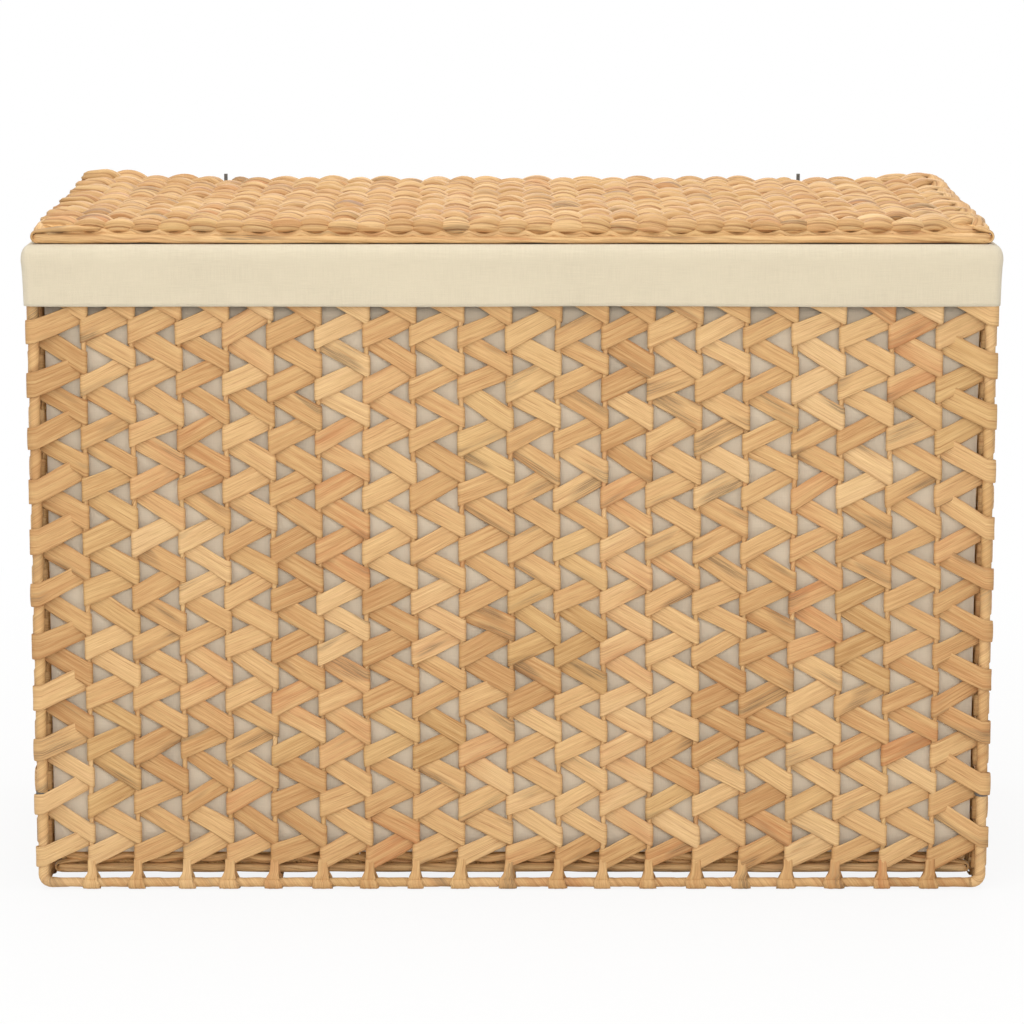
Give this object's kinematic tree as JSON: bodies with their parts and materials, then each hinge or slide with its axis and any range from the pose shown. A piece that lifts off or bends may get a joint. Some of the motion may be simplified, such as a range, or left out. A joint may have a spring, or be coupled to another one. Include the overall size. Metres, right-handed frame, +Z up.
{
  "type": "laundry sorter basket",
  "caption": "Rectangular woven laundry sorter on a wire frame, with a hinged woven lid and a cloth liner split into side-by-side bays.",
  "frame": {"origin": "on the floor under the middle of the basket", "axes": "+Z up, +X along the long side to the right, -Y towards the front, the hinge is at +Y"},
  "size_m": [0.8876, 0.4576, 0.6293],
  "materials": {
    "bound_rod": "wire rod bound in dried leaf",
    "flat_leaf": "flat dried leaf strips, satin",
    "rope_leaf": "twisted dried leaf rope, satin",
    "cotton": "plain cream cotton cloth",
    "tie": "dark grey tie"
  },
  "bodies": {
    "basket": {"back_frame": "bound_rod", "back_weave": "flat_leaf", "base_back_strand": "rope_leaf", "base_frame": "bound_rod", "base_front_strand": "rope_leaf", "base_weave": "rope_leaf", "corner_tie_back_left_lower": "tie", "corner_tie_back_left_upper": "tie", "corner_tie_back_right_lower": "tie", "corner_tie_back_right_upper": "tie", "corner_tie_front_left_lower": "tie", "corner_tie_front_left_upper": "tie", "corner_tie_front_right_lower": "tie", "corner_tie_front_right_upper": "tie", "cuff_back": "cotton", "cuff_front": "cotton", "cuff_left": "cotton", "cuff_right": "cotton", "front_frame": "bound_rod", "front_weave": "flat_leaf", "hinge_tie_left": "tie", "hinge_tie_right": "tie", "left_frame": "bound_rod", "left_weave": "flat_leaf", "liner_back": "cotton", "liner_divider_1": "cotton", "liner_divider_2": "cotton", "liner_floor": "cotton", "liner_front": "cotton", "liner_left": "cotton", "liner_right": "cotton", "right_frame": "bound_rod", "right_weave": "flat_leaf", "support_rod_1": "bound_rod", "support_rod_2": "bound_rod", "support_rod_3": "bound_rod"},
    "lid": {"lid_frame": "bound_rod", "lid_front_strand": "rope_leaf", "lid_weave": "rope_leaf"}
  },
  "joints": [
    {"name": "lid_hinge", "type": "hinge", "parent": "basket", "child": "lid", "pos_m": [0, 0.209, 0.6113], "axis": [-1, 0, 0], "range_deg": [0, 110]}
  ]
}
